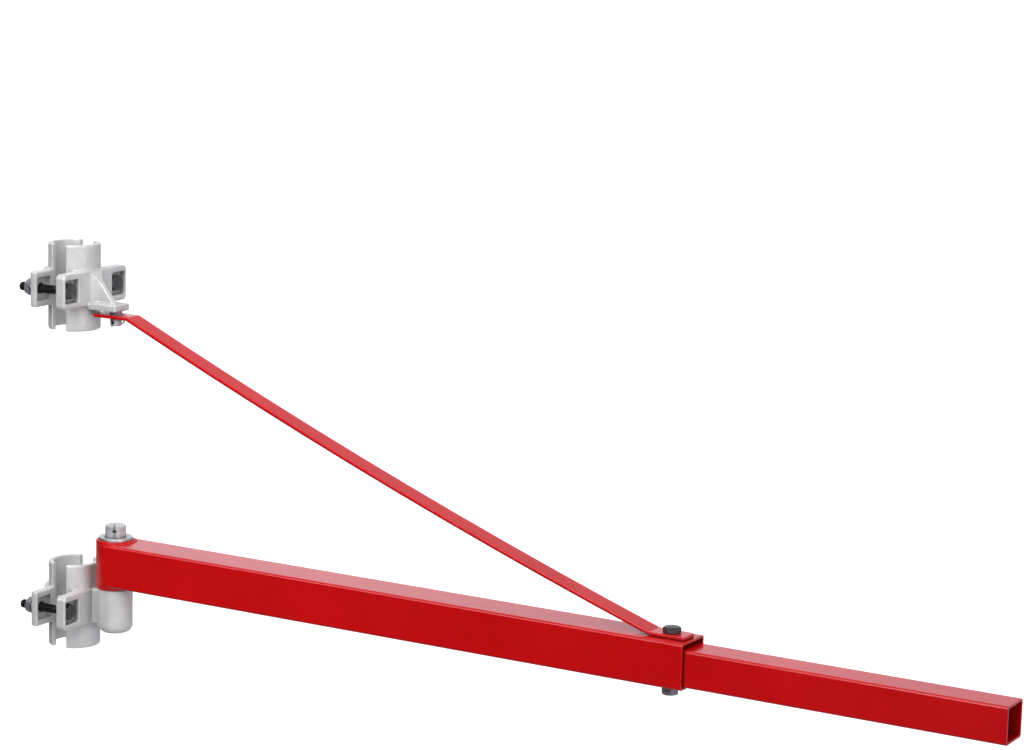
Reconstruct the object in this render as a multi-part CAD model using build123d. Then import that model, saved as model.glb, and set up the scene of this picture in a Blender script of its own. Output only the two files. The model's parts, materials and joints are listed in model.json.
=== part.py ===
from build123d import *
from math import radians, sqrt, tan
import os

# Hoist arm that swings on an upright pole. Millimetres, +Z up, +X along the arm.
# The origin lies on the pole's axis at the middle of the lower clamp.

# Clamp shells round the pole
POLE_DIAMETER = 48.3
CLAMP_LENGTH = 100.0
SHELL_WALL = 6.0
CLAMP_GAP = 19.0
BAND_HEIGHT = 42.0
BAND_RISE = 3.0
CASTING_ROUND = 2.0
RIB_WIDTH = 5.0
RIB_RISE = 2.0
UPPER_CLAMP_HEIGHT = 375.0

# Clamp ears and the pockets that hold the bolt heads
BOLT_STANDOFF = 12.85
EAR_OVERHANG = 15.0
EAR_SETIN = 0.5
FRONT_EAR_SETBACK = 8.5
FRONT_FLOOR = 4.5
FRONT_EAR_SETDOWN = 2.1
EAR_CORNER = 6.0
BACK_EAR_DEPTH = 11.0
BACK_HOLLOW_DEPTH = 5.0
POCKET_WIDTH = 24.0
POCKET_HEIGHT = 27.0
POCKET_ROUND = 2.0
BOLT_PLAY = 0.75

# Long bolts with their nuts and washers
BOLT_DIAMETER = 10.0
BOLT_LENGTH = 65.0
BOLT_FLATS = 17.0
BOLT_HEAD = 6.4
BOLT_TIP_BEVEL = 1.5
BOLT_TURN = 30.0
NUT_HEIGHT = 8.0
HEX_BEVEL_SHARE = 0.94
HEX_BEVEL_ANGLE = 30.0
WASHER_DIAMETER = 20.0
WASHER_THICKNESS = 2.0
WASHER_PLAY = 0.5
SPRING_DIAMETER = 18.1
SPRING_THICKNESS = 2.2
SPRING_PLAY = 0.1
SPRING_SLIT = 2.0

# Short stop bolt at the tip of the extension
STOP_DIAMETER = 8.0
STOP_LENGTH = 25.0
STOP_FLATS = 13.0
STOP_HEAD = 5.3
STOP_TIP_BEVEL = 0.8
STOP_NUT = 6.5
STOP_FROM_TIP = 25.0
STOP_PLAY = 0.5

# Square tubes of the arm and its extension
ARM_SIZE = 50.0
ARM_WALL = 2.5
ARM_REACH = 750.0
EXTENSION_PLAY = 5.0
EXTENSION_WALL = 2.5
EXTENSION_LENGTH = 750.0
EXTENSION_OUT = 355.0
EXTENSION_END_HOLE = 22.0
TUBE_CORNER = 3.0
TUBE_INNER_CORNER = 1.0

# Pivot at the lower clamp
SWING_CLEARANCE = 4.85
RUNNING_CLEARANCE = 0.08
POST_DIAMETER = 24.0
POST_SEAT = 42.0
POST_ABOVE_WASHER = 14.0
POST_BEVEL = 1.5
BOSS_DIAMETER = 40.0
BOSS_BELOW = 27.0
BOSS_ABOVE = 26.0
BOSS_ROUND = 9.0
WEB_WIDTH = 11.0
WEB_FLARE = 3.0
EYE_BELOW_TUBE = 5.0
EYE_ABOVE_TUBE = 2.5
EYE_BEVEL = 1.0
TUBE_SETBACK = 2.0
WELD_LEG = 3.0
WELD_RUN = 10.0
PIVOT_WASHER_DIAMETER = 39.0
PIVOT_WASHER_THICKNESS = 3.0

# Lug, pin and tie strap
LUG_DROP = 16.0
LUG_THICKNESS = 8.0
LUG_WIDTH = 28.0
LUG_BEYOND_PIN = 9.0
LUG_CORNER = 2.0
LUG_EDGE = 1.0
GUSSET_THICKNESS = 7.0
GUSSET_FLARE = 12.0
GUSSET_SHORT = 1.5
PIN_DIAMETER = 14.0
PIN_SEAT = 5.5
PIN_BELOW_STRAP = 9.0
PIN_BEVEL = 1.0
STRAP_WIDTH = 25.0
STRAP_THICKNESS = 4.0
STRAP_SAG = 9.0
STRAP_BELOW_LUG = 4.0
STRAP_BEND = 6.0
STRAP_CORNER = 4.0
STRAP_TAIL_CLEARANCE = 1.5
UPPER_TAB = 23.0
LOWER_TAB = 20.5
LOWER_TAIL = 21.0
TIE_FROM_END = 25.0

# Cotter pins
COTTER_DIAMETER = 4.5
COTTER_RING = 7.2
COTTER_LEG_CLEARANCE = 0.5
COTTER_STANDOFF = 0.1
POST_COTTER_DROP = 6.0
POST_COTTER_LEG = 9.0
POST_COTTER_TURN = 30.0
PIN_COTTER_DROP = 3.9
PIN_COTTER_LEG = 3.8

# Sizes and places that follow from the ones above
BORE_RADIUS = POLE_DIAMETER / 2
SHELL_RADIUS = BORE_RADIUS + SHELL_WALL
BAND_RADIUS = SHELL_RADIUS + BAND_RISE
BOLT_Y = SHELL_RADIUS + BOLT_STANDOFF
EAR_Y = BOLT_Y + EAR_OVERHANG
EAR_TOP = BAND_HEIGHT / 2 - EAR_SETIN
SPLIT_X = CLAMP_GAP / 2
FRONT_EAR_BACK = SPLIT_X + FRONT_EAR_SETBACK
HEAD_SEAT_X = FRONT_EAR_BACK + FRONT_FLOOR
FRONT_EAR_FACE = HEAD_SEAT_X + BOLT_HEAD + FRONT_EAR_SETDOWN
BACK_EAR_FACE = SPLIT_X + BACK_EAR_DEPTH
HOLE_RADIUS = BOLT_DIAMETER / 2 + BOLT_PLAY
PIVOT_X = SHELL_RADIUS + ARM_SIZE / 2 + SWING_CLEARANCE
EYE_RADIUS = ARM_SIZE / 2 - ARM_WALL
EYE_BOTTOM = BOSS_ABOVE
ARM_BOTTOM = EYE_BOTTOM + EYE_BELOW_TUBE
ARM_TOP = ARM_BOTTOM + ARM_SIZE
EYE_TOP = ARM_TOP + EYE_ABOVE_TUBE
TUBE_START = PIVOT_X + TUBE_SETBACK
POST_BOTTOM = BOSS_ABOVE - POST_SEAT
POST_TOP = EYE_TOP + PIVOT_WASHER_THICKNESS + POST_ABOVE_WASHER
ARM_END = PIVOT_X + ARM_REACH
EXTENSION_SIZE = ARM_SIZE - 2 * ARM_WALL - EXTENSION_PLAY
EXTENSION_BOTTOM = ARM_BOTTOM + ARM_WALL
EXTENSION_MIDDLE = EXTENSION_BOTTOM + EXTENSION_SIZE / 2
TIP_X = ARM_END + EXTENSION_OUT
TIE_X = ARM_END - TIE_FROM_END
STOP_X = TIP_X - STOP_FROM_TIP
LUG_BOTTOM = -LUG_DROP - LUG_THICKNESS
STRAP_TOP = UPPER_CLAMP_HEIGHT + LUG_BOTTOM - STRAP_BELOW_LUG
STRAP_BOTTOM = STRAP_TOP - STRAP_THICKNESS
PIN_BOTTOM = STRAP_BOTTOM - PIN_BELOW_STRAP


def ring(inner, outer, height):
    """Round ring about Z, its outer edges rounded."""
    section = Pos((inner + outer) / 2, 0) * Rectangle(outer - inner, height)
    section = fillet(section.vertices().group_by(Axis.X)[-1], CASTING_ROUND)
    return revolve(Plane.XZ * section, Axis.Z)


def block(low, high):
    """Box between two opposite corners."""
    size = [b - a for a, b in zip(low, high)]
    middle = [(a + b) / 2 for a, b in zip(low, high)]
    return Pos(*middle) * Box(*size)


def drill_x(radius, y):
    """Cutter along X through a whole clamp."""
    return Pos(0, y, 0) * Rot(0, 90, 0) * Cylinder(radius, 4 * BAND_RADIUS)


def upright(radius, x, low, high):
    """Upright round bar or cutter between two heights."""
    return Pos(x, 0, (low + high) / 2) * Cylinder(radius, high - low)


def rims(bar):
    """Round edges of an upright bar, the lowest first."""
    return bar.edges().filter_by(GeomType.CIRCLE).sort_by(Axis.Z)


def pole_cutter():
    return Cylinder(BORE_RADIUS, 2 * CLAMP_LENGTH)


def front_side():
    """Space on the +X side of the clamp's gap."""
    return block((SPLIT_X, -EAR_Y, -CLAMP_LENGTH), (EAR_Y, EAR_Y, CLAMP_LENGTH))


def front_ears():
    """Flat bar across the shell that carries both front ears, with round corners at its ends."""
    outline = Plane.YZ * RectangleRounded(2 * EAR_Y, 2 * EAR_TOP, EAR_CORNER)
    bar = Pos(FRONT_EAR_BACK, 0, 0) * extrude(outline, amount=FRONT_EAR_FACE - FRONT_EAR_BACK)
    levels = bar.edges().group_by(Axis.X)
    return fillet(levels[0] + levels[-1], CASTING_ROUND)


def back_ears():
    """Bar of the back half's ears, its ends rounded towards the nuts."""
    plan = Pos((SPLIT_X + BACK_EAR_FACE) / 2, 0) * Rectangle(BACK_EAR_DEPTH, 2 * EAR_Y)
    plan = fillet(plan.vertices().group_by(Axis.X)[-1], EAR_CORNER)
    return cast_plate(plan, -EAR_TOP, 2 * EAR_TOP, CASTING_ROUND)


def pocket(y, start, stop):
    """Rounded rectangular pocket cutter at one ear, along X."""
    outline = Plane.YZ * Pos(y, 0) * RectangleRounded(POCKET_WIDTH, POCKET_HEIGHT, POCKET_ROUND)
    return Pos(start, 0, 0) * extrude(outline, amount=stop - start)


def cast_plate(plan, low, thickness, edge_round):
    """Level plate of a casting, its upper and lower edges rounded."""
    plate = Pos(0, 0, low) * extrude(plan, amount=thickness)
    levels = plate.edges().group_by(Axis.Z)
    return fillet(levels[0] + levels[-1], edge_round)


def rib_plan(width, flare):
    """Plan of an upright rib from the shell to the pivot axis, its root run out into the bar's face."""
    root = FRONT_EAR_FACE - EAR_SETIN
    half = width / 2
    wide = half + flare + EAR_SETIN
    side = [(BORE_RADIUS, wide), (root, wide), (root, half), (PIVOT_X, half)]
    plan = make_face(Polyline(*side, *[(x, -y) for x, y in reversed(side)], close=True))
    for y in (-half, half):
        plan = fillet(plan.vertices().sort_by_distance((root, y))[0], flare)
    return plan


def front_half(extras):
    """Front clamp half with two pockets for the bolt heads, joined to what else is cast on it."""
    half = ring(BORE_RADIUS, SHELL_RADIUS, CLAMP_LENGTH) & front_side()
    half += front_ears()
    for extra in extras:
        half += extra
    half -= pole_cutter()
    for y in (-BOLT_Y, BOLT_Y):
        half -= pocket(y, HEAD_SEAT_X, 2 * FRONT_EAR_FACE)
        half -= drill_x(HOLE_RADIUS, y)
    return half


def back_half():
    """Back clamp half: hollow ears and a saddle between two ribs."""
    half = ring(BORE_RADIUS, SHELL_RADIUS, CLAMP_LENGTH)
    half += ring(BORE_RADIUS, BAND_RADIUS - RIB_RISE, BAND_HEIGHT)
    rib = ring(BORE_RADIUS, BAND_RADIUS + RIB_RISE, RIB_WIDTH)
    for side in (-1, 1):
        half += Pos(0, 0, side * (BAND_HEIGHT - RIB_WIDTH) / 2) * rib
    half = half & front_side()
    half += back_ears()
    half -= pole_cutter()
    for y in (-BOLT_Y, BOLT_Y):
        half -= pocket(y, 0, SPLIT_X + BACK_HOLLOW_DEPTH)
        half -= drill_x(HOLE_RADIUS, y)
    return Rot(0, 0, 180) * half


def lower_front():
    """Front half with the boss that carries the pivot post."""
    height = BOSS_BELOW + BOSS_ABOVE
    section = Pos(BOSS_DIAMETER / 4, BOSS_ABOVE - height / 2) * Rectangle(BOSS_DIAMETER / 2, height)
    rim = section.vertices().group_by(Axis.X)[-1].sort_by(Axis.Y)
    section = fillet(rim[0], BOSS_ROUND)
    boss = Pos(PIVOT_X, 0, 0) * revolve(Plane.XZ * section, Axis.Z)
    web = cast_plate(rib_plan(WEB_WIDTH, WEB_FLARE), -BAND_HEIGHT / 2, BAND_HEIGHT, CASTING_ROUND)
    return front_half([web, boss]) - upright(POST_DIAMETER / 2, PIVOT_X, POST_BOTTOM, POST_TOP)


def upper_front():
    """Front half with the lug plate and gusset that carry the strap pin."""
    lug_end = PIVOT_X + LUG_BEYOND_PIN
    plan = RectangleRounded(lug_end - BORE_RADIUS, LUG_WIDTH, LUG_CORNER)
    plate = cast_plate(Pos((lug_end + BORE_RADIUS) / 2, 0) * plan, LUG_BOTTOM, LUG_THICKNESS, LUG_EDGE)
    foot = PIVOT_X - GUSSET_SHORT
    sunk = -LUG_DROP - LUG_EDGE
    top = EAR_TOP - CASTING_ROUND
    corners = [(BORE_RADIUS, sunk), (foot, sunk), (foot, -LUG_DROP), (FRONT_EAR_FACE, top), (BORE_RADIUS, top)]
    slope = extrude(Plane.XZ * make_face(Polyline(*corners, close=True)), LUG_WIDTH, both=True)
    gusset = slope & extrude(rib_plan(GUSSET_THICKNESS, GUSSET_FLARE), BAND_HEIGHT, both=True)
    casting = front_half([plate, gusset])
    casting -= upright(PIN_DIAMETER / 2, PIVOT_X, LUG_BOTTOM - LUG_THICKNESS, LUG_BOTTOM + PIN_SEAT)
    return Pos(0, 0, UPPER_CLAMP_HEIGHT) * casting


def cross_hole():
    """Cutter along Y for a cotter hole."""
    return Rot(90, 0, 0) * Cylinder(COTTER_DIAMETER / 2, 4 * POST_DIAMETER)


def cotter(radius, leg_up, leg_down):
    """Split pin along Y through an upright bar at Z = 0: ring at +Y, legs bent up and down at -Y."""
    wire = COTTER_DIAMETER / 4
    near = -(radius + COTTER_STANDOFF + wire)
    far = radius + COTTER_STANDOFF + wire
    shank = Pos(0, (near + far) / 2, 0) * Rot(90, 0, 0) * Cylinder(COTTER_DIAMETER / 2, far - near)
    loop = Pos(0, far + COTTER_RING / 2, 0) * Rot(0, 90, 0) * Torus(COTTER_RING / 2, wire)
    legs = Pos(0, near, (leg_up - leg_down) / 2) * Cylinder(wire, leg_up + leg_down)
    return shank + loop + legs


def hexagon(flats, height, bevel_bottom):
    """Hexagonal block on Z = 0, its corners bevelled at the top and, for a nut, at the bottom."""
    corner = flats / sqrt(3)
    face = flats / 2 * HEX_BEVEL_SHARE
    rise = (corner - face) * tan(radians(HEX_BEVEL_ANGLE))
    start = [(0, 0), (face, 0), (corner, rise)] if bevel_bottom else [(0, 0), (corner, 0)]
    outline = make_face(Polyline(*start, (corner, height - rise), (face, height), (0, height), close=True))
    prism = extrude(RegularPolygon(flats / 2, 6, major_radius=False), amount=height)
    return prism & revolve(Plane.XZ * outline, Axis.Z)


def hex_bolt(diameter, length, flats, head, tip_bevel):
    """Bolt along Z with its head above Z = 0 and its shank below."""
    shank = upright(diameter / 2, 0, -length, 0)
    return hexagon(flats, head, False) + chamfer(rims(shank)[0], tip_bevel)


def hex_nut(diameter, flats, height):
    """Nut that stands on Z = 0."""
    return hexagon(flats, height, True) - Cylinder(diameter / 2, 4 * height)


def plain_washer(outer, inner, thickness):
    """Flat washer that stands on Z = 0."""
    return extrude(Circle(outer / 2) - Circle(inner / 2), amount=thickness)


def spring_washer():
    """Split ring, tightened flat, that stands on Z = 0."""
    body = plain_washer(SPRING_DIAMETER, BOLT_DIAMETER + 2 * SPRING_PLAY, SPRING_THICKNESS)
    slit = Pos(SPRING_DIAMETER / 2, 0, 0) * Box(SPRING_DIAMETER, SPRING_SLIT, 4 * SPRING_THICKNESS)
    return body - slit


def square_tube(size, wall, start, length, bottom):
    """Square tube along X with rounded corners."""
    inner = size - 2 * wall
    outline = RectangleRounded(size, size, TUBE_CORNER) - RectangleRounded(inner, inner, TUBE_INNER_CORNER)
    return Pos(start, 0, bottom + size / 2) * extrude(Plane.YZ * outline, amount=length)


def arm_tube():
    """Outer tube, coped round the eye, with the tie bolt's hole."""
    tube = square_tube(ARM_SIZE, ARM_WALL, TUBE_START, ARM_END - TUBE_START, ARM_BOTTOM)
    tube -= upright(EYE_RADIUS, PIVOT_X, EYE_BOTTOM, EYE_TOP)
    return tube - upright(HOLE_RADIUS, TIE_X, EYE_BOTTOM, EYE_TOP)


def arm_eye():
    """Thick bush that turns on the pivot post."""
    eye = upright(EYE_RADIUS, PIVOT_X, EYE_BOTTOM, EYE_TOP)
    eye = chamfer(rims(eye), EYE_BEVEL)
    return eye - upright(POST_DIAMETER / 2 + RUNNING_CLEARANCE, PIVOT_X, -EYE_TOP, 2 * EYE_TOP)


def weld_fillet(foot, rise):
    """Half ring of weld between a level tube face and the eye that stands on it."""
    corners = [(EYE_RADIUS, foot), (EYE_RADIUS + WELD_LEG, foot), (EYE_RADIUS, foot + rise)]
    bead = revolve(Plane.XZ * make_face(Polyline(*corners, close=True)), Axis.Z)
    return bead & block((0, -ARM_SIZE / 2, 0), (ARM_SIZE, ARM_SIZE / 2, 2 * ARM_TOP))


def eye_weld():
    """Weld bead: a fillet over and under the tube round the eye, joined by a run up each side."""
    weld = weld_fillet(ARM_TOP, EYE_ABOVE_TUBE - EYE_BEVEL)
    weld += weld_fillet(ARM_BOTTOM, EYE_BEVEL - EYE_BELOW_TUBE)
    weld = Pos(PIVOT_X, 0, 0) * weld
    for side in (-1, 1):
        outer = side * ARM_SIZE / 2
        inner = side * (EYE_RADIUS - WELD_LEG)
        corners = [(TUBE_START, inner), (TUBE_START, outer), (TUBE_START - WELD_RUN, inner)]
        plan = make_face(Polyline(*corners, close=True))
        weld += Pos(0, 0, ARM_BOTTOM) * extrude(plan, amount=ARM_SIZE)
    return weld - upright(EYE_RADIUS, PIVOT_X, EYE_BOTTOM, EYE_TOP)


def extension_tube():
    """Inner tube that lies on the arm's floor, with its two bolt holes and the stop bolt's hole."""
    start = TIP_X - EXTENSION_LENGTH
    tube = square_tube(EXTENSION_SIZE, EXTENSION_WALL, start, EXTENSION_LENGTH, EXTENSION_BOTTOM)
    for x in (TIE_X, start + EXTENSION_END_HOLE):
        tube -= upright(HOLE_RADIUS, x, EYE_BOTTOM, EYE_TOP)
    far_wall = Pos(STOP_X, EXTENSION_SIZE / 2, EXTENSION_MIDDLE) * Rot(90, 0, 0)
    return tube - far_wall * Cylinder(STOP_DIAMETER / 2 + STOP_PLAY, EXTENSION_SIZE / 2)


def strap_run(shift):
    """Upper bend, middle and lower bend of the strap's sagging run, at a distance from its middle line."""
    upper = Vector(PIVOT_X + UPPER_TAB, STRAP_TOP - STRAP_THICKNESS / 2)
    lower = Vector(TIE_X - LOWER_TAB, ARM_TOP + STRAP_THICKNESS / 2)
    span = lower - upper
    radius = (span.length ** 2 / 4 + STRAP_SAG ** 2) / (2 * STRAP_SAG)
    above = Vector(-span.Y, span.X).normalized()
    centre = (upper + lower) / 2 + above * (radius - STRAP_SAG)
    bends = []
    for height in (upper.Y + shift, lower.Y + shift):
        reach = sqrt((radius - shift) ** 2 - (height - centre.Y) ** 2)
        bends.append(Vector(centre.X - reach, height))
    return bends[0], centre - above * (radius - shift), bends[1]


def tie_strap():
    """Flat bar from the strap pin down to the tie bolt, slightly bowed, both ends bent level."""
    swing = PIVOT_X - SHELL_RADIUS - STRAP_TAIL_CLEARANCE
    tail = PIVOT_X - sqrt(swing ** 2 - (STRAP_WIDTH / 2) ** 2)
    tip = TIE_X + LOWER_TAIL
    top = strap_run(STRAP_THICKNESS / 2)
    bottom = strap_run(-STRAP_THICKNESS / 2)
    edges = Line((tail, top[0].Y), top[0]) + ThreePointArc(*top)
    edges += Polyline(top[2], (tip, top[2].Y), (tip, bottom[2].Y), bottom[2])
    edges += ThreePointArc(*reversed(bottom))
    edges += Polyline(bottom[0], (tail, bottom[0].Y), (tail, top[0].Y))
    side = make_face(edges)
    for inner, outer in ((bottom[0], top[0]), (top[2], bottom[2])):
        side = fillet(side.vertices().sort_by_distance(inner)[0], STRAP_BEND)
        side = fillet(side.vertices().sort_by_distance(outer)[0], STRAP_BEND + STRAP_THICKNESS)
    strap = extrude(Plane.XZ * side, amount=STRAP_WIDTH / 2, both=True)
    uprights = strap.edges().filter_by(Axis.Z).sort_by(Axis.X)
    strap = fillet(uprights[:2] + uprights[-2:], STRAP_CORNER)
    strap -= upright(PIN_DIAMETER / 2 + RUNNING_CLEARANCE, PIVOT_X, PIN_BOTTOM, UPPER_CLAMP_HEIGHT)
    return strap - upright(HOLE_RADIUS, TIE_X, ARM_BOTTOM, ARM_TOP + 2 * STRAP_THICKNESS)


def bolt_set(seat, nut_seat, place, turn):
    """Bolt, turned about its axis, washer, spring washer and nut of one place, with both seats along it."""
    washer_bore = BOLT_DIAMETER + 2 * WASHER_PLAY
    stack = {
        "washer": plain_washer(WASHER_DIAMETER, washer_bore, WASHER_THICKNESS),
        "spring_washer": Pos(0, 0, WASHER_THICKNESS) * spring_washer(),
        "nut": Pos(0, 0, WASHER_THICKNESS + SPRING_THICKNESS) * hex_nut(BOLT_DIAMETER, BOLT_FLATS, NUT_HEIGHT),
    }
    under = place * Pos(0, 0, nut_seat) * Rot(180, 0, 0)
    pieces = {name: under * piece for name, piece in stack.items()}
    bolt = hex_bolt(BOLT_DIAMETER, BOLT_LENGTH, BOLT_FLATS, BOLT_HEAD, BOLT_TIP_BEVEL)
    pieces["bolt"] = place * Pos(0, 0, seat) * Rot(0, 0, turn) * bolt
    return pieces


def stop_pieces():
    """Short bolt through the far wall at the extension's tip, its nut inside the tube."""
    place = Pos(STOP_X, EXTENSION_SIZE / 2, EXTENSION_MIDDLE) * Rot(-90, 0, 0)
    nut = Pos(0, 0, -EXTENSION_WALL) * Rot(180, 0, 0) * hex_nut(STOP_DIAMETER, STOP_FLATS, STOP_NUT)
    return {
        "stop_bolt": place * hex_bolt(STOP_DIAMETER, STOP_LENGTH, STOP_FLATS, STOP_HEAD, STOP_TIP_BEVEL),
        "stop_nut": place * nut,
    }


def pivot_pieces():
    """Post, pin, large washer and the two cotter pins, all on the pivot axis."""
    post_place = Pos(PIVOT_X, 0, POST_TOP - POST_COTTER_DROP) * Rot(0, 0, POST_COTTER_TURN)
    post_room = POST_ABOVE_WASHER - POST_COTTER_DROP - COTTER_LEG_CLEARANCE
    pin_place = Pos(PIVOT_X, 0, PIN_BOTTOM + PIN_COTTER_DROP)
    pin_room = PIN_BELOW_STRAP - PIN_COTTER_DROP - COTTER_LEG_CLEARANCE
    washer = plain_washer(PIVOT_WASHER_DIAMETER, POST_DIAMETER + 2 * WASHER_PLAY, PIVOT_WASHER_THICKNESS)
    post = upright(POST_DIAMETER / 2, PIVOT_X, POST_BOTTOM, POST_TOP)
    pin = upright(PIN_DIAMETER / 2, PIVOT_X, PIN_BOTTOM, UPPER_CLAMP_HEIGHT + LUG_BOTTOM + PIN_SEAT)
    return {
        "pivot_post": chamfer(rims(post)[-1], POST_BEVEL) - post_place * cross_hole(),
        "strap_pin": chamfer(rims(pin)[0], PIN_BEVEL) - pin_place * cross_hole(),
        "pivot_washer": Pos(PIVOT_X, 0, EYE_TOP) * washer,
        "pivot_cotter": post_place * cotter(POST_DIAMETER / 2, POST_COTTER_LEG, post_room),
        "strap_cotter": pin_place * cotter(PIN_DIAMETER / 2, pin_room, PIN_COTTER_LEG),
    }


def fasteners():
    """Bolt sets of both clamps and of the tie."""
    pieces = {}
    for clamp, height, turn in (("lower", 0.0, 0.0), ("upper", UPPER_CLAMP_HEIGHT, BOLT_TURN)):
        for hand, y in (("right", -BOLT_Y), ("left", BOLT_Y)):
            place = Pos(0, y, height) * Rot(0, 90, 0)
            for name, piece in bolt_set(HEAD_SEAT_X, -BACK_EAR_FACE, place, turn).items():
                pieces[f"{clamp}_{hand}_{name}"] = piece
    tie = bolt_set(ARM_TOP + STRAP_THICKNESS, ARM_BOTTOM, Pos(TIE_X, 0, 0), BOLT_TURN)
    pieces.update({f"tie_{name}": piece for name, piece in tie.items()})
    return pieces


def build():
    pieces = {
        "lower_clamp_front": lower_front(),
        "lower_clamp_back": back_half(),
        "upper_clamp_front": upper_front(),
        "upper_clamp_back": Pos(0, 0, UPPER_CLAMP_HEIGHT) * back_half(),
        "arm_tube": arm_tube(),
        "arm_eye": arm_eye(),
        "eye_weld": eye_weld(),
        "extension_tube": extension_tube(),
        "tie_strap": tie_strap(),
    }
    pieces.update(pivot_pieces())
    pieces.update(fasteners())
    pieces.update(stop_pieces())
    return pieces


os.makedirs("parts", exist_ok=True)
for node, shape in build().items():
    export_step(shape, f"parts/{node}.step")
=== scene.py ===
import json
from math import cos, pi, radians, sin, tan

import bmesh
import bpy
from mathutils import Matrix, Vector, noise

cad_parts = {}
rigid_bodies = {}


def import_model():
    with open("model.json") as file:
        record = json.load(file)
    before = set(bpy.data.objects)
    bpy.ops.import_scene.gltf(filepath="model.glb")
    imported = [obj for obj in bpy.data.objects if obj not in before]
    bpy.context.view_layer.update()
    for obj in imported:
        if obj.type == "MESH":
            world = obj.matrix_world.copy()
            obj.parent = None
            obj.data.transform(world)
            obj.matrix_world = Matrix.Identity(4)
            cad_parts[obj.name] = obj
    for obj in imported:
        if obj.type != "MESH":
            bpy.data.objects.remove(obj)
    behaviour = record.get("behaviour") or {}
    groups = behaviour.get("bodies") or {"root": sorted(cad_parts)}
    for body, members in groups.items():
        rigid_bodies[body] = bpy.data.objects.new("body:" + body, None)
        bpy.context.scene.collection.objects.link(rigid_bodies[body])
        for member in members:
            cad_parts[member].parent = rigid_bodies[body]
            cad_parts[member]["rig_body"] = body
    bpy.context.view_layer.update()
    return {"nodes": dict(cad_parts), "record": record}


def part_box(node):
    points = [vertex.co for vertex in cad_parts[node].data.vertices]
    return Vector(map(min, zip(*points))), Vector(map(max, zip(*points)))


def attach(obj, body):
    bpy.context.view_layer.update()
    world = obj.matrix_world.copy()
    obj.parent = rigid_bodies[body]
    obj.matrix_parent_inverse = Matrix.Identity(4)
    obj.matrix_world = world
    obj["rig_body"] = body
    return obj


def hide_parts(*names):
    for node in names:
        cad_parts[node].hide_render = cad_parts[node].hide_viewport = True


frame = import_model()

# Lengths are in millimetres and become metres through MM, unless a line says metres. Angles are in degrees.
MM = 0.001

# Camera: place, turn about Z, look down, roll, focal length in pixels of the image's width, reach in metres
IMAGE_WIDTH = 1024
CAMERA_PLACE = (2174.2, -2757.6, 907.4)
CAMERA_YAW = 29.96
CAMERA_PITCH = 10.19
CAMERA_ROLL = 1.47
CAMERA_FOCAL = 3050.0
CAMERA_REACH = 1000.0
SENSOR_WIDTH = 36.0

# Castings: grid of the softened skin, its smoothing, the share of faces kept, and how uneven the skin is
CAST_VOXEL = 0.8
CAST_SMOOTHING = 4
CAST_SMOOTH_SHARE = 0.5
CAST_KEEP = 0.45
CAST_UNEVEN = 0.12
CAST_UNEVEN_SPAN = 14.0

# Rounded edges of sawn, rolled and turned pieces
TUBE_EDGE = 0.5
STRAP_EDGE = 1.2
TURNED_EDGE = 0.35
EDGE_STEPS = 3
SHARP_ANGLE = 35.0
FLAT_ANGLE = 0.5
FLAT_FACE_WEIGHT = 90
JOIN_DISTANCE = 0.0005

# Threaded fasteners: points around, rings per turn, form of the thread, and the plain share of a shank
AROUND = 48
THREAD_STEPS = 6
THREAD_DEPTH_SHARE = 0.613
THREAD_FLANK = 2.9
THREAD_ROOT = 0.2
PLAIN_SHARE = 0.25
BOLT = {"diameter": 10.0, "pitch": 1.5, "head": 6.4}
STOP_BOLT = {"diameter": 8.0, "pitch": 1.25, "head": 5.3}
SHANK = "shank"

# Heads, nuts and washers, and where the middle of a rounding lies as a share of its width
WASHER_FACE = 0.5
UNDERHEAD_ROUND = 0.5
HEX_FACE_SHARE = 0.94
HEX_BEVEL_ANGLE = 30.0
HEX_BEVEL_STEPS = 5
COUNTERSINK = 0.6
BORE_PLAY = 0.03
WASHER_ROUND = 0.4
SPRING_ROUND = 0.3
SPRING_SLIT = 2.0
SPRING_SLANT = 1.2
ROUND_MIDDLE = 0.3

# Weld beads over and under the tube: section, half sweep round the eye, tapered ends and ripples
WELD_LEG = 3.0
WELD_RISES = (1.5, 4.0)
WELD_SINK = 0.1
WELD_BULGE = 0.35
WELD_SWEEP = 80.0
WELD_TAPER = 14.0
WELD_TIP_SIZE = 0.4
WELD_RIPPLE = 0.16
WELD_RIPPLE_LENGTH = 2.6
WELD_RIPPLE_STEPS = 6
WELD_RIPPLE_LAG = 2
WELD_STEPS = 12

# Ground side runs of the weld, their depth as a share of the tube's round corner
WELD_OVERLAP = 7.0
WELD_PROUD = 0.02
WELD_TURN = 36.0
WELD_PULL = 5.0
WELD_DEPTH = 1.3
TUBE_CORNER = 3.0

# Cotter pins: half round wire, ring, half its sweep, longer leg, parting of the legs, turn of the post's pin
COTTER_WIRE = 0.9
COTTER_RING = 2.7
COTTER_RING_SWEEP = 150
COTTER_LEG = 9.0
COTTER_PART = 1.25
COTTER_STEPS = 10
POST_COTTER_TURN = 30.0

# Cotter pins in shares of the wire: room before and behind the bar, bend, cut end; and of the ring: its lead
COTTER_NEAR = 0.3
COTTER_FAR = 0.4
COTTER_BEND = 1.1
COTTER_CUT = 0.2
COTTER_LEAD = 0.8

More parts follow.
